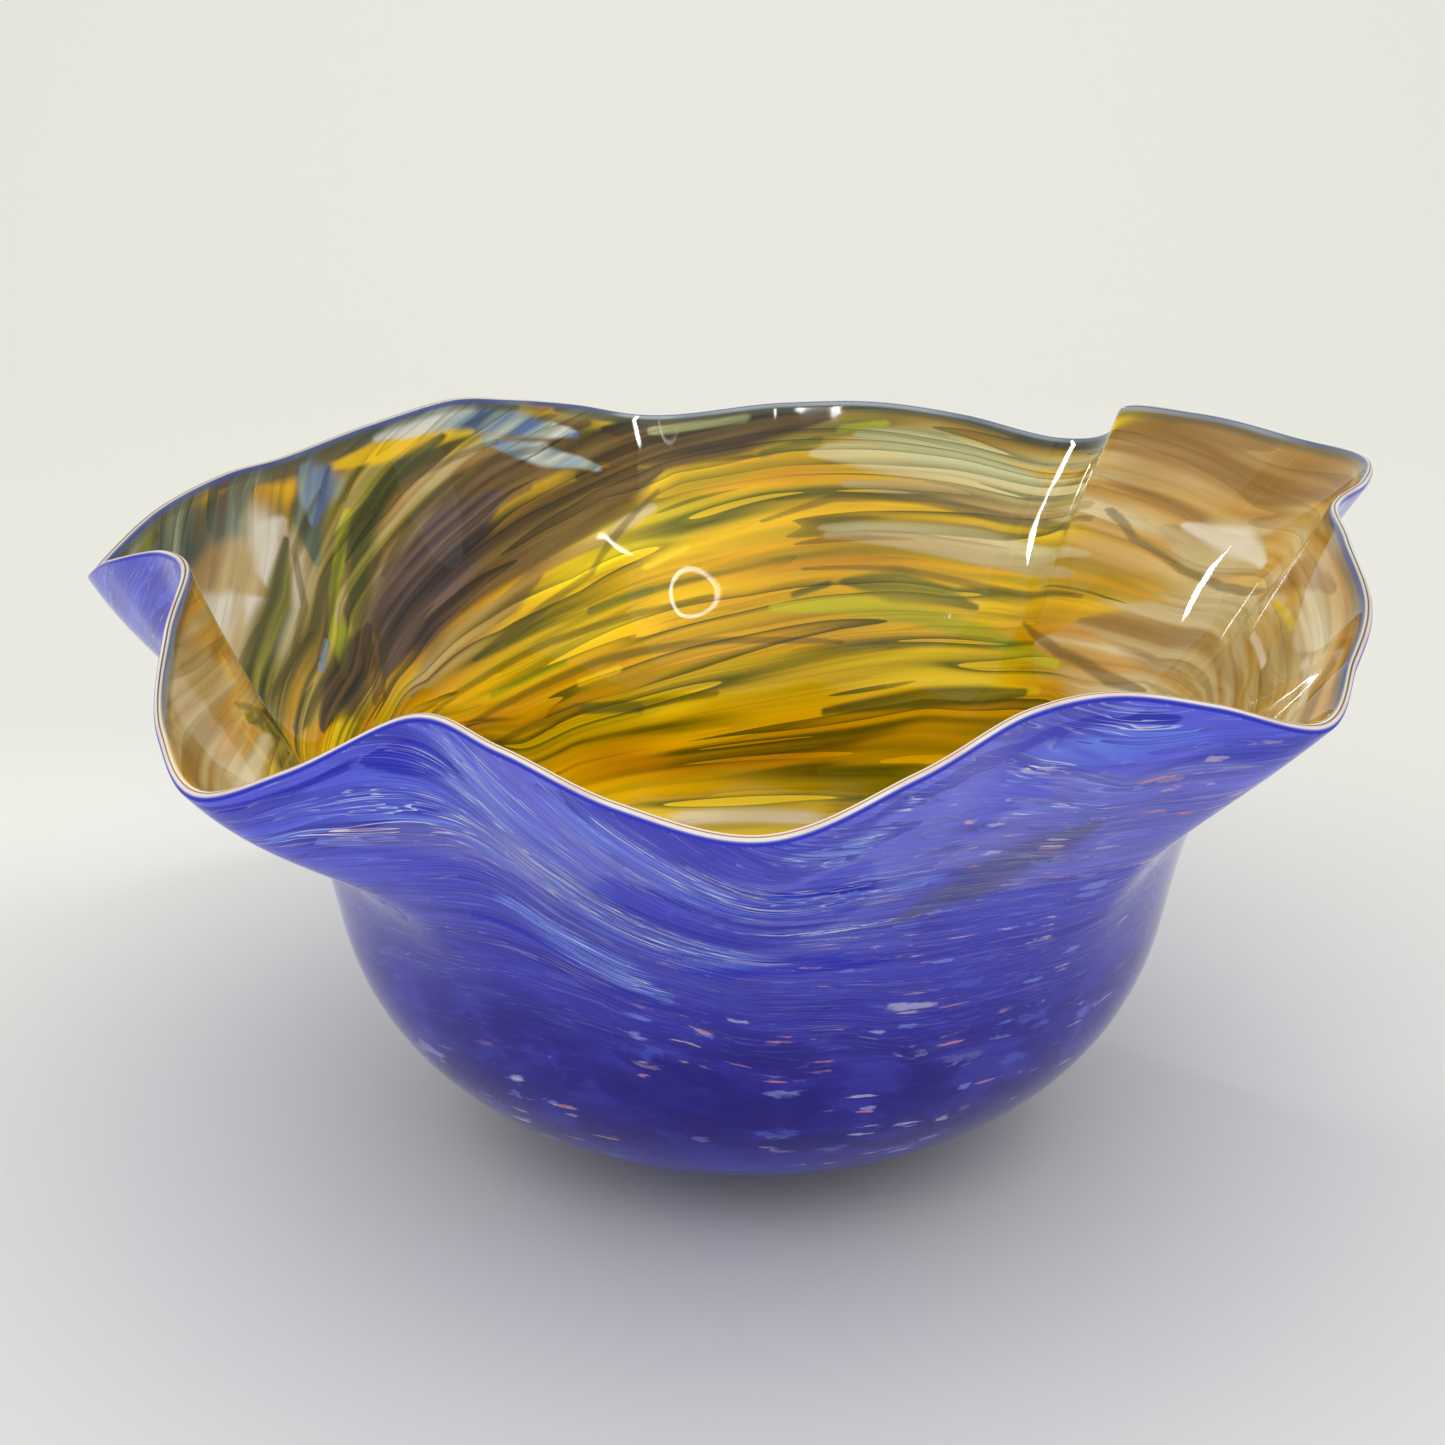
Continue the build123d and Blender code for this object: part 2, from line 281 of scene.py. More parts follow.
# Where each colour of the lining lies: lines of (azimuth, v, width in mm)
INNER_PAINT = {
    "murk": [
        [(212, .60, 50), (190, .62, 64), (172, .66, 60), (158, .66, 56), (147, .72, 40), (136, .84, 34),
         (124, .92, 24), (108, .96, 14)],
        [(176, .36, 26), (160, .40, 24), (152, .50, 24)],
        [(106, .95, 14), (96, .965, 18), (84, .985, 18), (70, .99, 18), (56, .985, 16), (44, .96, 12)],
    ],
    "haze": [
        [(82, .86, 16), (68, .88, 24), (54, .86, 26), (40, .84, 26)],
        [(80, .62, 10), (60, .64, 14), (40, .62, 12)],
    ],
    "tan": [
        [(46, .80, 26), (32, .80, 60), (16, .80, 64), (0, .80, 70), (-20, .84, 70), (-44, .90, 60)],
        [(42, .34, 14), (32, .36, 30), (14, .42, 44), (-8, .56, 60), (-30, .76, 60)],
        [(232, .85, 60), (216, .88, 50), (208, .92, 20)],
    ],
    "teal": [
        [(190, .97, 8), (178, .95, 22), (170, .91, 26), (163, .92, 18), (156, .97, 8)],
        [(160, .99, 7), (150, .985, 9), (142, .985, 9), (130, .99, 7), (118, .99, 5)],
        [(152, .72, 8), (149, .86, 12), (144, .95, 10)],
        [(112, .99, 6), (96, .985, 7), (84, .99, 5)],
    ],
    "fawn": [
        [(178, .58, 16), (169, .69, 34), (161, .78, 36), (153, .86, 20)],
    ],
    "slate": [
        [(152, .34, 14), (145, .46, 26), (138, .57, 26), (131, .68, 18), (124, .76, 10)],
        [(206, .40, 16), (222, .46, 20)],
    ],
    "umber": [
        [(171, .31, 9), (162.5, .35, 15), (154.5, .42, 15), (150, .49, 10)],
        [(150, .38, 12), (142, .46, 20), (134, .54, 24), (124, .60, 24), (115, .68, 22), (107, .76, 16),
         (100, .84, 10)],
        [(140, .62, 12), (130, .73, 14), (122, .82, 14), (114, .88, 16), (103, .91, 18), (92, .93, 16),
         (80, .97, 9)],
        [(111, .80, 11), (103, .84, 11)],
        [(60, .99, 5), (48, .98, 6)],
        [(240, .12, 14), (262, .2, 20), (285, .3, 12)],
    ],
    "rust": [
        [(157, .28, 11), (150, .40, 8), (142, .46, 8)],
        [(44, .93, 16), (36, .94, 26), (24, .94, 26), (12, .95, 14)],
        [(6, .72, 8), (-10, .88, 10), (-22, .95, 10)],
        [(126, .72, 7), (119, .77, 7)],
    ],
    "taupe": [
        [(149, .26, 9), (138, .345, 13), (127.5, .42, 9), (121, .49, 4)],
        [(154.5, .54, 5), (146, .69, 6), (135.5, .83, 7), (122, .885, 6), (114, .92, 5)],
        [(149, .5, 5), (141, .67, 6), (130, .79, 5), (119.5, .845, 5)],
        [(135.5, .365, 3.5), (122, .50, 4), (108.5, .595, 5), (101.7, .71, 6)],
        [(77.5, .77, 9), (61, .77, 9), (42, .76, 9)],
        [(79, .595, 8), (61, .615, 9), (41, .557, 8)],
        [(33, .73, 20), (23.5, .71, 22), (15.5, .71, 18)],
        [(37, .42, 20), (21, .46, 28), (0.5, .54, 34), (-20, .71, 30), (-38, .88, 26)],
        [(174, .83, 22), (165, .81, 18), (162.5, .69, 10)],
        [(230, .9, 30), (218, .93, 24), (212, .80, 10)],
        [(178.7, .61, 9), (176, .71, 8)],
        [(300, .55, 30), (320, .8, 30)],
    ],
    "olive": [
        [(188, .48, 12), (181, .52, 13), (172, .54, 12), (162.5, .65, 10), (154.5, .81, 9)],
        [(154.5, .42, 7), (149, .576, 8), (143.6, .75, 9), (138, .865, 8), (130, .93, 5)],
        [(214, .74, 9), (209, .62, 10), (205, .54, 12)],
        [(76, .44, 10), (68, .45, 12), (56, .42, 8)],
        [(83, .39, 5), (78, .43, 7)],
        [(88, .865, 8), (81.5, .90, 9)],
        [(77, .055, 5), (61, .12, 7), (50, .165, 7), (42, .20, 5)],
        [(178, .93, 14), (170, .97, 12)],
        [(114, .36, 4), (104, .41, 4)],
        [(118, .09, 4), (108, .07, 5)],
    ],
    "lime": [
        [(86, .345, 5), (75, .365, 7), (64, .36, 7), (50.5, .335, 7), (38, .29, 5)],
        [(158, .50, 5), (150, .66, 5), (144, .82, 5)],
        [(160, .38, 8), (156, .50, 9), (152, .62, 6)],
        [(134, .18, 4), (120, .22, 4)],
        [(79, .93, 6), (74, .95, 5)],
    ],
    "sky": [
        [(147, .97, 9), (146, .92, 13), (149, .83, 9)],
        [(137, .975, 7), (128, .965, 8), (119, .945, 8), (110, .925, 7)],
        [(124, .90, 6), (116, .865, 7), (108, .83, 5)],
        [(163, .44, 6), (159, .50, 6)],
    ],
    "mint": [
        [(77, .92, 14), (68, .915, 12), (56, .87, 6)],
        [(100, .96, 4), (90, .975, 4)],
    ],
    "lemon": [
        [(66.6, .15, 4), (54.5, .18, 7), (39.6, .21, 6)],
        [(143, .945, 7), (134, .935, 8), (126, .93, 5)],
        [(118, .16, 3), (111, .18, 3)],
        # the next stroke is a painted glow, light shining gold through the glass on the right side
        [(-8, .80, 6), (-20, .836, 6)],
        [(104, .49, 5), (98, .56, 5)],
    ],
    # painted highlights: pale glows on the lobes, and a painted reflection, the pale ring on the floor of the
    # bowl
    "painted_highlight": [
        [(31, .75, 7), (23.5, .75, 9), (15.5, .73, 6)],
        [(-7.6, .71, 12), (-19.7, .73, 12)],
        [(-28, .85, 8), (-40, .90, 8)],
        [(112, -.27, 5), (100, -.235, 5), (90, -.225, 5), (80, -.235, 5), (68, -.27, 5)],
    ],
    "ink": [
        [(82, .475, 3.7), (68, .505, 3.9), (54.5, .495, 5.1), (38.3, .495, 4.8)],
        [(88, .64, 3.7), (79, .72, 4.4), (68, .745, 5.6), (52, .74, 4.8), (41, .72, 3.7)],
        [(39.6, .75, 3.5), (35.6, .68, 3.9), (27.5, .64, 4.1), (19.4, .634, 4.1), (14, .66, 3.9),
         (7, .73, 3.5)],
        [(46.4, .40, 4.1), (38.3, .325, 5.8), (27.5, .297, 6.3), (19, .306, 4.6)],
        [(135.5, .287, 3.5), (124.7, .364, 3.7), (112.5, .48, 3.7), (107, .615, 3.7), (100.4, .77, 3.5)],
        [(150, .5, 5.3), (149, .42, 5.3), (154.5, .29, 3.9)],
        [(166.5, .5, 3.9), (158.5, .615, 3.7), (154.5, .77, 3.7), (146, .90, 3.7)],
        [(162.5, .46, 3.7), (154.5, .576, 3.9), (146.3, .75, 3.9), (135.5, .846, 3.9), (122, .90, 3.7)],
        [(143.6, .615, 3.9), (135.5, .75, 5.1), (124.7, .846, 5.1), (115, .885, 3.9)],
        [(189.5, .48, 3.5), (181.4, .45, 3.9), (170.6, .48, 3.9), (160, .54, 3.7)],
        [(185.4, .547, 3.9), (176, .566, 5.1), (166.5, .634, 5.1)],
        [(146, .19, 3.5), (135.5, .23, 3.7), (122, .287, 3.9), (108.5, .326, 3.7), (95, .383, 3.5)],
        [(143.6, .114, 3.5), (130, .152, 3.7), (114, .21, 4.4), (95, .239, 3.7), (75, .249, 3.5)],
        [(135.5, .056, 3.5), (119, .094, 4.8), (108.5, .075, 4.4), (95, .094, 3.5)],
        [(214, .78, 3.5), (209, .66, 4.1), (206, .56, 3.9)],
    ],
}
# Where each colour of the overlay lies
OUTER_PAINT = {
    "milk": [
        [(236, .80, 16), (246, .66, 22), (254, .50, 16)],
        [(196, .25, 24), (215, .38, 26), (226, .42, 20)],
        [(300, .82, 24), (312, .74, 24)],
        [(268, .62, 12), (278, .50, 12)],
        [(320, .35, 24), (335, .25, 24)],
        [(256, .86, 12), (266, .70, 12)],
        [(286, .62, 20), (298, .62, 44), (310, .70, 50), (322, .80, 40)],
    ],
    "royal": [
        [(230, .985, 9), (240, .97, 10)],
        [(241, .96, 10), (244, .92, 12), (248, .88, 9)],
        [(255, .975, 9), (261, .965, 14), (267, .95, 17), (273, .91, 18), (281, .86, 12)],
        [(274, .97, 5), (286, .95, 7), (294, .93, 6)],
        [(268, .84, 6), (278, .66, 6), (286, .54, 5)],
        [(262, .27, 9), (274, .31, 12), (284, .27, 7)],
        [(240, .38, 5), (250, .24, 6)],
        [(290, .95, 6), (303, .97, 6)],
    ],
    "streak": [
        [(247, .97, 12), (248.5, .90, 16), (250.5, .74, 18), (253, .57, 18), (258.5, .42, 16),
         (264.5, .36, 14), (272, .33, 10)],
        [(255.5, .99, 8), (258.5, .91, 12), (263, .81, 16), (268, .75, 16), (273, .68, 16), (280, .60, 14),
         (287, .56, 8)],
        [(272, .95, 6), (276.5, .88, 8), (280, .95, 8)],
        [(233, .85, 10), (239.5, .84, 14), (244, .76, 14), (247, .60, 12)],
        [(244, .44, 12), (252, .28, 14), (260, .16, 10)],
        [(268, .52, 8), (277, .44, 10), (286, .38, 6)],
        [(196, .20, 20), (222, .36, 20)],
        [(290, .84, 8), (300, .92, 12), (306, .95, 8)],
        [(292, .72, 8), (302, .72, 10)],
    ],
    "pool": [
        [(252, -.42, 30), (270, -.50, 44), (290, -.42, 34)],
    ],
    "dusk": [
        [(283, .42, 14), (292, .50, 18), (299, .58, 14), (303, .66, 8)],
    ],
    "night": [
        [(200, -.40, 50), (240, -.26, 60), (270, -.22, 66), (300, -.28, 60), (340, -.42, 50)],
        [(0, -.4, 60), (60, -.3, 60), (120, -.3, 60), (200, -.4, 60)],
    ],
    "fleck": [
        [(282, .72, 30), (296, .78, 60), (312, .7, 60), (325, .6, 60)],
        [(270, .18, 40), (290, .25, 50), (320, .3, 60)],
        [(240, .0, 26), (270, -.02, 50), (320, -.05, 60)],
        [(215, -.30, 50), (240, -.30, 50), (268, -.36, 60), (300, -.30, 66), (330, -.3, 60)],
        [(20, .3, 90), (60, .5, 90), (110, .3, 90), (160, .4, 90), (200, .3, 60)],
        [(10, -.3, 90), (60, -.3, 90), (110, -.2, 90), (160, -.3, 90), (200, -.3, 60)],
    ],
}


def skin_object(name, profile, flow, painted):
    """Closed mesh swept round the bowl from a list of rows, with its colour fields on its points."""
    rows = len(profile)
    a = np.radians(AZ)
    co = np.zeros((rows, TURNS, 3))
    for i, (r, z, _, _) in enumerate(profile):
        co[i, :, 0] = r * np.cos(a)
        co[i, :, 1] = r * np.sin(a)
        co[i, :, 2] = z
    co = co.reshape(-1, 3) / 1000.0
    # the last two points close the mesh at the axis, under the first row and over the last
    first, last = len(co), len(co) + 1
    co = np.vstack([co, [[0, 0, profile[end][1][0] / 1000.0] for end in (0, -1)]])
    v = np.r_[np.repeat([row[2] for row in profile], TURNS), FLOOR_V, FLOOR_V]
    depth = np.r_[np.repeat([row[3] for row in profile], TURNS), 0.0, 1.0]
    az = np.r_[np.tile(AZ, rows), 0.0, 0.0]
    faces = []
    for i in range(rows - 1):
        for j in range(TURNS):
            k = (j + 1) % TURNS
            faces.append((i * TURNS + j, i * TURNS + k, (i + 1) * TURNS + k, (i + 1) * TURNS + j))
    for j in range(TURNS):
        k = (j + 1) % TURNS
        faces.append((first, k, j))
        faces.append((last, (rows - 1) * TURNS + j, (rows - 1) * TURNS + k))
    me = bpy.data.meshes.new(name)
    me.from_pydata(co.tolist(), [], faces)
    me.update()
    me.polygons.foreach_set("use_smooth", [True] * len(me.polygons))
    # grain: the coordinates that every noise is read at, drawn out along the flow
    grain = np.stack([co[:, 0] * 10, co[:, 1] * 10, smooth_field(flow, az, v) / 100.0], -1)
    at = me.attributes.new("grain", "FLOAT_VECTOR", "POINT")
    at.data.foreach_set("vector", grain.astype(np.float32).ravel())
    fields = {"height": v, "lip": depth}
    fields.update({key: paint(az, v, bands) for key, bands in painted.items()})
    for key, values in fields.items():
        at = me.attributes.new(key, "FLOAT", "POINT")
        at.data.foreach_set("value", values.astype(np.float32))
    ob = bpy.data.objects.new(name, me)
    scene.collection.objects.link(ob)
    return ob


# ---------------------------------------------------------------- material helpers
def lin(r, g, b):
    """Linear colour of an sRGB one."""
    def one(c):
        return (c / 255) / 12.92 if c <= 10 else ((c / 255 + 0.055) / 1.055) ** 2.4
    return one(r), one(g), one(b), 1.0


def hues(stops):
    return [(at, lin(*c)) for at, c in stops]


def grey(v, warm=1.0):
    return (v * warm, v, v / warm, 1.0)


class Mat:
    """A material and short names for its nodes."""

    def __init__(self, name):
        self.m = bpy.data.materials.new(name)
        self.m.use_nodes = True
        self.t = self.m.node_tree
        self.t.nodes.clear()
        self.out = self.t.nodes.new("ShaderNodeOutputMaterial")

    def put(self, sock, value):
        if isinstance(value, bpy.types.NodeSocket):
            self.t.links.new(value, sock)
        else:
            sock.default_value = value

    def node(self, kind, **props):
        n = self.t.nodes.new(kind)
        for k, v in props.items():
            setattr(n, k, v)
        return n

    def attr(self, name, vector=False):
        n = self.node("ShaderNodeAttribute", attribute_name=name)
        return n.outputs["Vector"] if vector else n.outputs["Fac"]

    def scaled(self, vec, s, shift=(0, 0, 0)):
        n = self.node("ShaderNodeMapping")
        self.put(n.inputs["Vector"], vec)
        n.inputs["Scale"].default_value = s
        n.inputs["Location"].default_value = shift
        return n.outputs[0]

    def noise_node(self, vec, detail, rough=0.5, warp=0.0):
        n = self.node("ShaderNodeTexNoise")
        self.put(n.inputs["Vector"], vec)
        n.inputs["Scale"].default_value = 1.0
        n.inputs["Detail"].default_value = detail
        n.inputs["Roughness"].default_value = rough
        n.inputs["Distortion"].default_value = warp
        return n

    def noise(self, vec, detail=3.0, rough=0.55, warp=0.0):
        return self.noise_node(vec, detail, rough, warp).outputs["Fac"]

    def math(self, op, a, b):
        n = self.node("ShaderNodeMath", operation=op)
        self.put(n.inputs[0], a)
        self.put(n.inputs[1], b)
        return n.outputs[0]

    def times(self, a, *others):
        for b in others:
            a = self.math("MULTIPLY", a, b)
        return a

    def step(self, x, lo, hi, a=0.0, b=1.0):
        n = self.node("ShaderNodeMapRange", interpolation_type="SMOOTHSTEP")
        self.put(n.inputs[0], x)
        for i, v in enumerate((lo, hi, a, b)):
            n.inputs[i + 1].default_value = v
        return n.outputs[0]

    def mix(self, fac, a, b, blend="MIX"):
        n = self.node("ShaderNodeMix", data_type="RGBA", blend_type=blend)
        self.put(n.inputs[0], fac)
        self.put(n.inputs[6], a)
        self.put(n.inputs[7], b)
        return n.outputs[2]

    def ramp(self, fac, stops):
        n = self.node("ShaderNodeValToRGB")
        self.put(n.inputs[0], fac)
        el = n.color_ramp.elements
        while len(el) < len(stops):
            el.new(0.5)
        for e, (p, c) in zip(el, stops):
            e.position, e.color = p, c
        return n.outputs[0]

    def layered(self, g, scale, shift, folds, detail=1.0, warp=0.4):
        """0 to 1 across each fold of glass, with a sudden step back to 0 at the fold's edge."""
        n = self.noise(self.scaled(g, scale, shift), detail, .5, warp)
        return self.math("FRACT", self.times(n, folds), 0.0)

    def cover(self, name, wobble, amp, lo, hi):
        """Mask of a painted colour, its edge moved in and out by a noise about 0."""
        near = self.step(self.attr(name), .02, .3)
        return self.step(self.math("ADD", self.attr(name), self.times(self.times(wobble, amp), near)), lo, hi)

    def wavy(self, vec, strength=0.12):
        """Slow waviness of hand-blown glass, for the normals only."""
        b = self.node("ShaderNodeBump")
        b.inputs["Strength"].default_value = strength
        b.inputs["Distance"].default_value = 0.002
        self.put(b.inputs["Height"], self.noise(self.scaled(vec, (3.0, 3.0, 3.0)), 2, .45))
        return b.outputs[0]

    def glass(self, color, wear, rough, bump, ior=1.5):
        """Glossy glass whose roughness doubles where the wear noise is high."""
        p = self.node("ShaderNodeBsdfPrincipled")
        self.put(p.inputs["Base Color"], color)
        self.put(p.inputs["Roughness"], self.step(wear, .35, .70, rough, rough * 2))
        p.inputs["IOR"].default_value = ior
        self.put(p.inputs["Normal"], bump)
        self.put(self.out.inputs[0], p.outputs[0])
        return self.m


SOFT_IOR = 1.38                  # the bowl's inside and outside reflect a little less than plain glass

# ---------------------------------------------------------------- the lining: amber, olive, smoke, beige
AMBER = ((.34, (212, 148, 2)), (.45, (240, 182, 2)), (.54, (252, 204, 4)), (.66, (255, 224, 24)))
AMBER_OLIVE = ((.42, (148, 142, 6)), (.60, (204, 178, 4)))
FOLD_OLIVE = ((.42, (96, 96, 6)), (.58, (150, 146, 8)))
# How a painted colour's edge is moved: the noise, and the mask's low and high ends
LINING_EDGES = {"zone": ("broad", .22, .74), "streak": ("other", .14, .76)}
# Painted colours from the lowest up:
# (name, edge, how far the edge moves, opacity, noise, colours along that noise)
LINING_LAYERS = (
    ("murk", "zone", .9, .94, "other", ((.36, (74, 70, 40)), (.45, (124, 112, 42)), (.53, (168, 150, 48)),
                                        (.60, (196, 176, 100)), (.68, (150, 136, 70)))),
    ("haze", "zone", .9, .75, "other", ((.36, (146, 104, 26)), (.46, (220, 174, 60)), (.54, (212, 190, 124)),
                                        (.64, (232, 222, 172)))),
    ("tan", "zone", .9, .9, "broad", ((.34, (168, 124, 56)), (.44, (212, 162, 78)), (.54, (224, 190, 120)),
                                      (.66, (242, 226, 184)))),
    ("fawn", "streak", .6, .85, "broad", ((.36, (190, 160, 110)), (.48, (214, 196, 160)),
                                          (.60, (240, 236, 226)))),
    ("teal", "streak", .8, .85, "other", ((.36, (48, 66, 62)), (.5, (92, 116, 104)), (.62, (146, 160, 140)))),
    ("lemon", "streak", .8, 1.0, "wide", ((.4, (250, 206, 10)), (.6, (255, 226, 40)))),
    ("lime", "streak", .8, .75, "other", ((.4, (172, 180, 18)), (.6, (214, 212, 36)))),
    ("taupe", "streak", 1.0, .85, "other", ((.38, (164, 128, 66)), (.5, (194, 166, 106)),
                                            (.62, (212, 192, 140)))),
    ("rust", "streak", .8, .8, "broad", ((.4, (140, 98, 40)), (.6, (190, 144, 76)))),
    ("olive", "streak", 1.0, .88, "other", ((.38, (66, 76, 22)), (.5, (112, 112, 28)),
                                            (.62, (152, 148, 42)))),
    ("umber", "streak", .9, .92, "other", ((.36, (38, 26, 16)), (.5, (66, 46, 24)), (.64, (110, 84, 46)))),
    ("slate", "streak", .6, .95, "other", ((.36, (44, 36, 40)), (.5, (76, 62, 62)), (.64, (116, 94, 82)))),
    ("mint", "streak", 1.0, .85, "other", ((.38, (152, 164, 104)), (.62, (214, 214, 164)))),
    ("sky", "streak", .9, .9, "broad", ((.38, (84, 114, 168)), (.5, (150, 176, 186)),
                                        (.62, (226, 232, 226)))),
)
# Shade across the folds, which multiplies the colour
WIDE_FOLDS = [(0.0, grey(1.0)), (.45, grey(.92)), (.82, (.66, .66, .52, 1.0)), (.96, (.38, .42, .28, 1.0)),
              (1.0, (.62, .62, .5, 1.0))]
NARROW_FOLDS = [(0.0, grey(1.0)), (.6, grey(.94)), (.92, grey(.70, 1.03)), (1.0, grey(.60))]
# Lines along the lip
# blue line under the back of the lip; its pale end is a painted highlight
LIP_BLUES_AND_HIGHLIGHTS = ((.42, (70, 84, 150)), (.54, (96, 116, 140)), (.62, (168, 182, 190)))
LIP_BACK = ((.57, (206, 150, 100)), (.62, (150, 104, 50)), (.67, (60, 84, 90)), (.72, (84, 100, 96)),
            (.78, (226, 222, 214)), (.86, (216, 206, 180)), (.95, (78, 92, 150)))
LIP_FRONT = ((.57, (232, 190, 176)), (.62, (206, 150, 100)), (.67, (128, 84, 44)), (.73, (246, 236, 216)),
             (.84, (250, 240, 216)), (.95, (238, 196, 96)))


def amber_material():
    m = Mat("lining_glass")
    g = m.attr("grain", True)
    noises = {
        "wide": m.noise(m.scaled(g, (.8, .8, 5.0)), 2, .5, .2),
        "broad": m.noise(m.scaled(g, (1.2, 1.2, 11.0), (7, 2, 4)), 2, .5, .3),
        "other": m.noise(m.scaled(g, (.8, .8, 15.0), (9, 4, 8)), 1, .5, .4),
    }
    wide, broad, other = noises["wide"], noises["broad"], noises["other"]
    saw = m.layered(g, (.5, .5, 10.0), (2, 6, 3), 5.0)
    thin = m.layered(g, (.7, .7, 19.0), (5, 1, 9), 6.0)
    h = m.attr("height")
    away = m.step(h, -1.0, -.72)          # plain amber in the middle of the floor
    base = m.ramp(wide, hues(AMBER))
    base = m.mix(m.times(m.step(broad, .46, .62), m.times(away, .5)), base, lin(214, 172, 2))
    base = m.mix(m.times(m.step(other, .50, .66), m.times(away, .6)), base, m.ramp(broad, hues(AMBER_OLIVE)))
    olive = m.times(m.step(saw, .45, 1.0), m.step(broad, .40, .56), m.times(away, .85))
    base = m.mix(olive, base, m.ramp(wide, hues(FOLD_OLIVE)))
    about_zero = {name: m.math("SUBTRACT", noises[name], .5) for name in ("other", "broad")}
    for name, edge, amp, opacity, along, colours in LINING_LAYERS:
        by, lo, hi = LINING_EDGES[edge]
        mask = m.cover(name, about_zero[by], amp, lo, hi)
        base = m.mix(m.times(mask, opacity), base, m.ramp(noises[along], hues(colours)))
    # painted highlights and the painted reflection on the bowl's floor, laid on in pale cream
    base = m.mix(m.times(m.step(m.attr("painted_highlight"), .12, .8), .8), base, lin(246, 236, 212))
    # folds, weaker in the beige lobes
    beige = m.math("MAXIMUM", m.step(m.attr("tan"), .1, .7), m.step(m.attr("fawn"), .1, .7))
    calm = m.times(m.math("SUBTRACT", 1.0, m.times(beige, .55)), away)
    for folds, amount, shades in ((saw, m.step(wide, .36, .56, .45, 1.0), WIDE_FOLDS),
                                  (thin, m.step(broad, .42, .58, .15, .8), NARROW_FOLDS)):
        base = m.mix(m.times(calm, amount), base, m.ramp(folds, shades), "MULTIPLY")
    ink = m.step(m.math("ADD", m.attr("ink"), m.times(about_zero["broad"], .8)), .50, .90)
    base = m.mix(m.times(ink, .55), base, lin(72, 64, 22))
    # the lip: lines of blue and grey at the back and sides, white and gold at the front
    split = m.node("ShaderNodeSeparateXYZ")
    m.put(split.inputs[0], g)
    back = m.step(split.outputs[1], -1.4, -1.05)
    base = m.mix(m.times(m.step(h, .972, .988), m.times(back, .6)), base, lin(78, 84, 66))
    # blue line just under the back of the lip, with pale patches painted as highlights
    base = m.mix(m.times(m.step(h, .990, .998), m.times(back, .85)), base, m.ramp(wide, hues(LIP_BLUES_AND_HIGHLIGHTS)))
    edge = m.attr("lip")
    lines = m.mix(back, m.ramp(edge, hues(LIP_FRONT)), m.ramp(edge, hues(LIP_BACK)))
    base = m.mix(m.step(edge, .995, .96), base, lines)
    return m.glass(base, wide, .025, m.wavy(g), SOFT_IOR)


# ---------------------------------------------------------------- the overlay: cobalt, silky streaks, flakes
# blue by height, darker towards the foot and lighter towards the lip; the lighter blue near the lip is partly
# painted light shining through the thin wall there
COBALT_BY_HEIGHT = ((.08, (24, 6, 112)), (.36, (34, 22, 140)), (.50, (44, 36, 156)), (.62, (66, 64, 196)),
                    (.95, (94, 98, 240)))
NIGHT = ((.4, (22, 4, 116)), (.62, (38, 26, 142)))
DUSK = ((.4, (74, 70, 118)), (.6, (98, 96, 104)))
WISPS = ((.42, (196, 216, 255)), (.56, (236, 236, 255)), (.68, (255, 226, 222)))
COBALT_LIP = ((.02, (56, 60, 200)), (.10, (30, 34, 190)), (.19, (60, 74, 210)), (.27, (150, 150, 214)))
SILK_FOLDS = [(0.0, grey(1.0)), (.6, grey(.9, .98)), (.95, grey(.62, .94)), (1.0, grey(.75, .96))]
# Flakes: (cells per 100 mm, cells per 100 of flow, share left out), (edge of the mask), opacity, colours
FLAKES = (
    ((7.0, 12.0, .78), (.48, .28), .5, ((.3, (80, 96, 220)), (.6, (140, 156, 236)), (.9, (214, 214, 240)))),
    ((13.0, 26.0, .91), (.46, .30), .60, ((.3, (128, 148, 236)), (.6, (206, 208, 240)),
                                          (.8, (236, 190, 176)))),
    ((10.0, 52.0, .90), (.42, .28), .55, ((.3, (236, 150, 110)), (.6, (244, 196, 170)),
                                          (.8, (220, 220, 246)))),
)
FLAKE_TWIST, FLAKE_TWIST_SIZE, FLAKE_KEEP_EDGE = 0.9, 2.5, .02


def flake(m, g, nth, across, along, left_out, edge):
    """Mask and random number of ragged flakes of frit, drawn out along the flow."""
    twist = m.noise_node(m.scaled(g, (across * FLAKE_TWIST_SIZE, across * FLAKE_TWIST_SIZE,
                                      along * FLAKE_TWIST_SIZE)), 3)
    push = m.node("ShaderNodeVectorMath", operation="SCALE")
    m.put(push.inputs[0], twist.outputs["Color"])
    push.inputs["Scale"].default_value = FLAKE_TWIST
    bent = m.node("ShaderNodeVectorMath", operation="ADD")
    m.put(bent.inputs[0], m.scaled(g, (across, across, along), (2 + nth, 2, 2)))
    m.put(bent.inputs[1], push.outputs[0])
    cells = m.node("ShaderNodeTexVoronoi", feature="F1", distance="EUCLIDEAN")
    m.put(cells.inputs["Vector"], bent.outputs[0])
    cells.inputs["Scale"].default_value = 1.0
    rnd = m.node("ShaderNodeSeparateColor")
    m.put(rnd.inputs[0], cells.outputs["Color"])
    mask = m.times(m.step(cells.outputs["Distance"], *edge),
                   m.step(rnd.outputs[0], left_out, left_out + FLAKE_KEEP_EDGE))
    return mask, rnd.outputs[1]


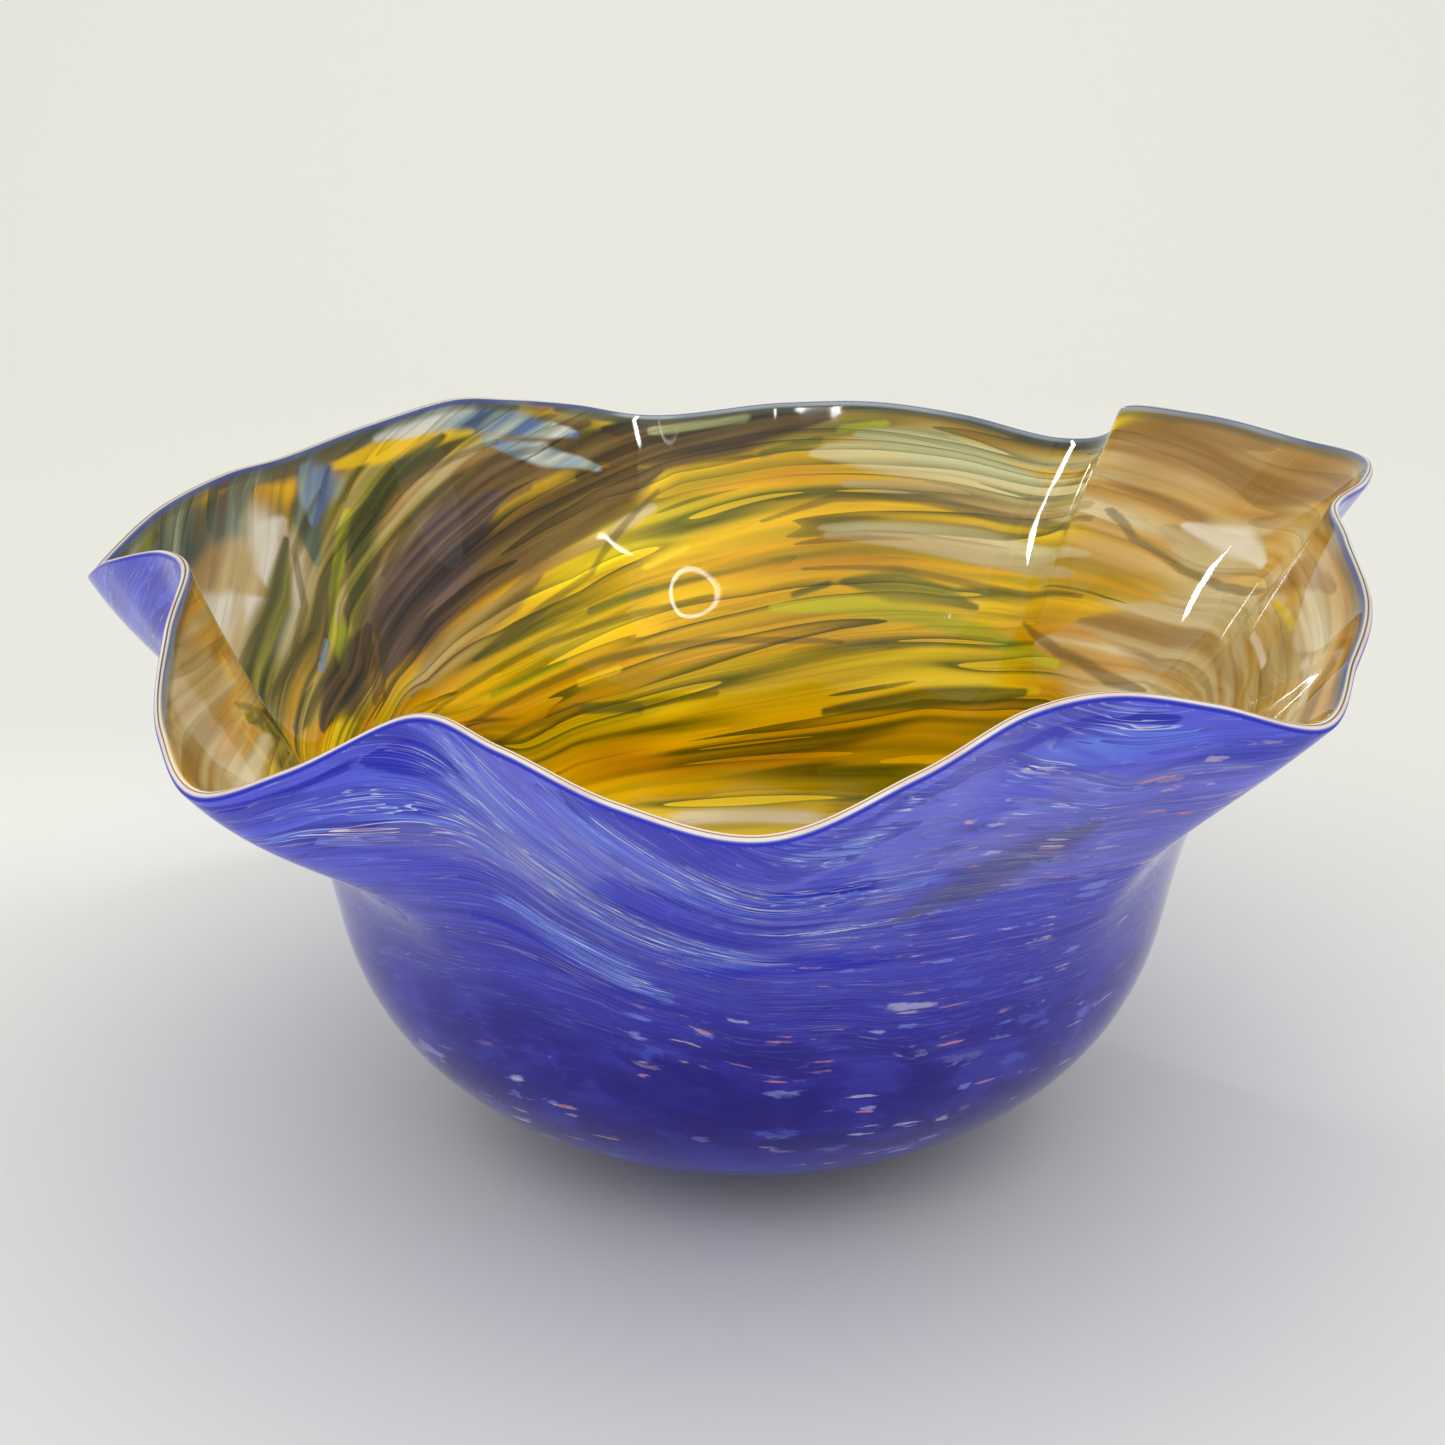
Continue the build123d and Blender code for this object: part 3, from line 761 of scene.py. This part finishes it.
def cobalt_material():
    m = Mat("overlay_glass")
    g = m.attr("grain", True)
    h = m.attr("height")
    broad = m.noise(m.scaled(g, (1.6, 1.6, 11.0), (5, 3, 1)), 2, .5, .3)
    fine = m.noise(m.scaled(g, (1.8, 1.8, 24.0), (3, 1, 2)), 2, .5, .4)
    mottle = m.noise(m.scaled(g, (6, 6, 9), (2, 8, 3)), 3, .6, .5)
    fold = m.layered(g, (1.6, 1.6, 20.0), (4, 2, 6), 7.0, 2.0, .6)
    wisp = m.layered(g, (2.4, 2.4, 40.0), (8, 5, 1), 7.0, 2.0, .6)
    upper = m.step(h, -.15, .35)
    lower = m.math("SUBTRACT", 1.0, upper)
    # blue by height: its lighter top is partly painted light through the thin wall near the lip
    base = m.ramp(m.math("ADD", m.times(h, .5), .5), hues(COBALT_BY_HEIGHT))
    base = m.mix(m.times(m.step(broad, .45, .58), .6), base, lin(42, 38, 176))
    base = m.mix(m.times(m.step(mottle, .50, .66), m.times(lower, .5)), base, lin(74, 74, 204))
    base = m.mix(m.times(m.step(mottle, .50, .36), m.times(lower, .5)), base, lin(24, 10, 128))
    streak = m.math("SUBTRACT", fine, .5)
    base = m.mix(m.times(m.step(m.attr("night"), .1, .95), .55), base, m.ramp(mottle, hues(NIGHT)))
    base = m.mix(m.times(m.cover("milk", streak, 1.0, .34, .64), .55), base, lin(130, 130, 222))
    base = m.mix(m.times(m.cover("royal", streak, 1.4, .34, .64), .88), base, lin(18, 14, 200))
    pool = m.times(m.step(m.attr("pool"), .05, 1.0), m.step(mottle, .36, .58, .25, .8))
    base = m.mix(pool, base, lin(24, 14, 186))
    base = m.mix(m.times(m.step(m.attr("dusk"), .1, .9), .6), base, m.ramp(fine, hues(DUSK)))
    # silky streaks: bright at one edge of each fold and fading away from it
    run = m.attr("streak")
    glow = m.times(m.step(fold, .8, 0.0), m.math("ADD", m.times(run, .8), m.times(upper, .10)))
    base = m.mix(glow, base, lin(104, 138, 250))
    bright = m.times(m.step(wisp, .28, 0.0), m.step(fine, .42, .54),
                     m.math("ADD", m.times(run, 1.3), m.times(upper, .25)))
    base = m.mix(bright, base, m.ramp(broad, hues(WISPS)))
    base = m.mix(m.times(upper, .72), base, m.ramp(fold, SILK_FOLDS), "MULTIPLY")
    for nth, (cells, edge, opacity, colours) in enumerate(FLAKES):
        mask, rnd = flake(m, g, nth, *cells, edge)
        mask = m.times(mask, m.step(m.attr("fleck"), .1, .6), m.step(mottle, .42, .54))
        base = m.mix(m.times(mask, opacity), base, m.ramp(rnd, hues(colours)))
    edge = m.attr("lip")
    base = m.mix(m.step(edge, .005, .03), base, m.ramp(edge, hues(COBALT_LIP)))
    return m.glass(base, mottle, .03, m.wavy(g, .10), SOFT_IOR)


# ---------------------------------------------------------------- the opal core and the pontil spot
OPAL = ((.35, (226, 196, 190)), (.5, (236, 226, 218)), (.65, (242, 236, 230)))
PONTIL = ((.35, (150, 84, 40)), (.65, (206, 132, 66)))


def opal_material():
    m = Mat("opal_glass")
    g = m.attr("grain", True)
    n = m.noise(m.scaled(g, (5, 5, 5)), 3)
    return m.glass(m.ramp(n, hues(OPAL)), n, .03, m.wavy(g))


def pontil_material():
    m = Mat("pontil_glass_ground")
    place = m.node("ShaderNodeTexCoord").outputs["Object"]
    n = m.noise(m.scaled(place, (60, 60, 60)), 3)
    return m.glass(m.ramp(n, hues(PONTIL)), n, .12, m.wavy(place))


# ---------------------------------------------------------------- the pieces
OUTER_ROWS, INNER_ROWS, HIDDEN_ROWS = (28, 80), (26, 84), (5, 9)      # body, flare
outer = skin_rows(OUTSIDE, *OUTER_ROWS)
inner = skin_rows(INSIDE, *INNER_ROWS)
blue_in = skin_rows(BLUE_TO_OPAL, *HIDDEN_ROWS)
amber_out = skin_rows(OPAL_TO_AMBER, *HIDDEN_ROWS)
under = (disc_rows(PONTIL_INNER, PONTIL_RADIUS, PONTIL_DEPTH, 2, FLOOR_V)
         + disc_rows(PONTIL_RADIUS, PONTIL_RADIUS, PONTIL_DEPTH, 1, -1.04)
         + disc_rows(PONTIL_RADIUS, PONTIL_RADIUS, 0.0, 1, -1.03)
         + disc_rows(PONTIL_RADIUS + PONTIL_GAP, FOOT_RADIUS, 0.0, 2, -1.02))
blue_rows = under + outer + lip_rows(DEPTHS[OUTSIDE], DEPTHS[BLUE_TO_OPAL], 6) + blue_in[::-1]
opal_rows = blue_in + lip_rows(DEPTHS[BLUE_TO_OPAL], DEPTHS[OPAL_TO_AMBER], 5) + amber_out[::-1]
amber_rows = amber_out + lip_rows(DEPTHS[OPAL_TO_AMBER], WALL, 6) + inner[::-1]

overlay = skin_object("overlay", blue_rows, OUTER_FLOW, OUTER_PAINT)
opal = skin_object("opal", opal_rows, OUTER_FLOW, {})
lining = skin_object("lining", amber_rows, INNER_FLOW, INNER_PAINT)
overlay.data.materials.append(cobalt_material())
opal.data.materials.append(opal_material())
lining.data.materials.append(amber_material())
for piece, node, slot in ((overlay, "blue_overlay", "cobalt_glass"), (opal, "opal_core", "opal_glass"),
                          (lining, "amber_lining", "amber_glass")):
    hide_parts(node)
    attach(piece, "root")
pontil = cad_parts["pontil_button"]
pontil.data.materials.clear()
pontil.data.materials.append(pontil_material())

# ---------------------------------------------------------------- the floor and backdrop, in metres
FLOOR_FRONT, FLOOR_HALF_WIDTH, BEND_START, BEND_RADIUS, WALL_TOP = -2.5, 4.0, 0.9, 0.9, 3.0
BELOW_FOOT = 0.0002
bend = [(BEND_RADIUS * sin(t) + BEND_START, BEND_RADIUS - BEND_RADIUS * cos(t))
        for t in np.linspace(0, pi / 2, 25)]
sweep = [(FLOOR_FRONT, 0.0)] + bend + [(BEND_START + BEND_RADIUS, WALL_TOP)]
verts = [(x, y, z - BELOW_FOOT) for y, z in sweep for x in (-FLOOR_HALF_WIDTH, FLOOR_HALF_WIDTH)]
me = bpy.data.meshes.new("floor")
me.from_pydata(verts, [], [(2 * i, 2 * i + 1, 2 * i + 3, 2 * i + 2) for i in range(len(sweep) - 1)])
for p in me.polygons:
    p.use_smooth = True
floor = bpy.data.objects.new("floor", me)
scene.collection.objects.link(floor)
paper = Mat("paper")
p = paper.node("ShaderNodeBsdfPrincipled")
p.inputs["Base Color"].default_value = lin(242, 242, 236)
p.inputs["Roughness"].default_value = 0.9
p.inputs["Specular IOR Level"].default_value = 0.1
paper.put(paper.out.inputs[0], p.outputs[0])
floor.data.materials.append(paper.m)

# ---------------------------------------------------------------- light
world = bpy.data.worlds.new("tent")
scene.world = world
world.use_nodes = True
bg = world.node_tree.nodes["Background"]
bg.inputs[0].default_value = (1.0, 0.99, 0.965, 1)
bg.inputs[1].default_value = 0.73


def area(name, loc, aim, size, power, size_y=None):
    d = bpy.data.lights.new(name, "AREA")
    d.energy = power
    d.size = size
    if size_y:
        d.shape = "RECTANGLE"
        d.size_y = size_y
    o = bpy.data.objects.new(name, d)
    o.location = loc
    o.rotation_euler = (Vector(aim) - Vector(loc)).to_track_quat("-Z", "Y").to_euler()
    scene.collection.objects.link(o)
    return o


def gridded(name, loc, aim, size, power, size_y, spread):
    """A small lamp that lights only a narrow cone, spread degrees across."""
    lamp = area(name, loc, aim, size, power, size_y)
    lamp.data.spread = radians(spread)
    return lamp


area("top", (0, -0.45, 1.3), (0, -0.25, 0), 2.0, 8.0)
area("wall_wash", (0, 0.8, 1.2), (0, 1.7, 0.5), 1.6, 1.7, size_y=0.4)
# short lamps along the upper edges of the light tent, and a ring of them overhead, seen as highlights
gridded("lamp_left", (-0.36, 0.65, 0.56), (0.07, 0.155, 0.16), 0.035, 0.010, 0.2, 14)
gridded("lamp_right", (0.48, 0.21, 0.76), (-0.022, 0.2, 0.21), 0.035, 0.008, 0.17, 12)
gridded("lamp_front_left", (-0.31, -0.10, 0.835), (0.03, 0.18, 0.17), 0.02, 0.0013, 0.06, 14)
RING_AT, RING_RADIUS, RING_LAMPS = Vector((0.07, -0.11, 0.76)), 0.15, 48
RING_AIM, RING_SIZE, RING_POWER, RING_SPREAD = Vector((-0.055, 0.12, 0.09)), 0.028, 0.0002, 12
for i in range(RING_LAMPS):
    t = 2 * pi * i / RING_LAMPS
    out = Vector((cos(t), sin(t), 0)) * RING_RADIUS
    gridded("ring_%02d" % i, RING_AT + out, RING_AIM, RING_SIZE, RING_POWER, RING_SIZE, RING_SPREAD)

# ---------------------------------------------------------------- camera, at the photo's viewing angle
FOCAL_PIXELS, PHOTO_PIXELS, SENSOR_MM = 2341.0, 1445.0, 36.0
CAMERA_AIM, CAMERA_DISTANCE, CAMERA_PITCH = Vector((-0.0076, 0.0, 0.1089)), 0.620, radians(20)
cam_data = bpy.data.cameras.new("camera")
cam_data.lens = FOCAL_PIXELS / PHOTO_PIXELS * SENSOR_MM
cam_data.sensor_width = SENSOR_MM
cam = bpy.data.objects.new("camera", cam_data)
cam.location = CAMERA_AIM - Vector((0, cos(CAMERA_PITCH), -sin(CAMERA_PITCH))) * CAMERA_DISTANCE
cam.rotation_euler = (radians(90) - CAMERA_PITCH, 0, 0)
scene.collection.objects.link(cam)
scene.camera = cam
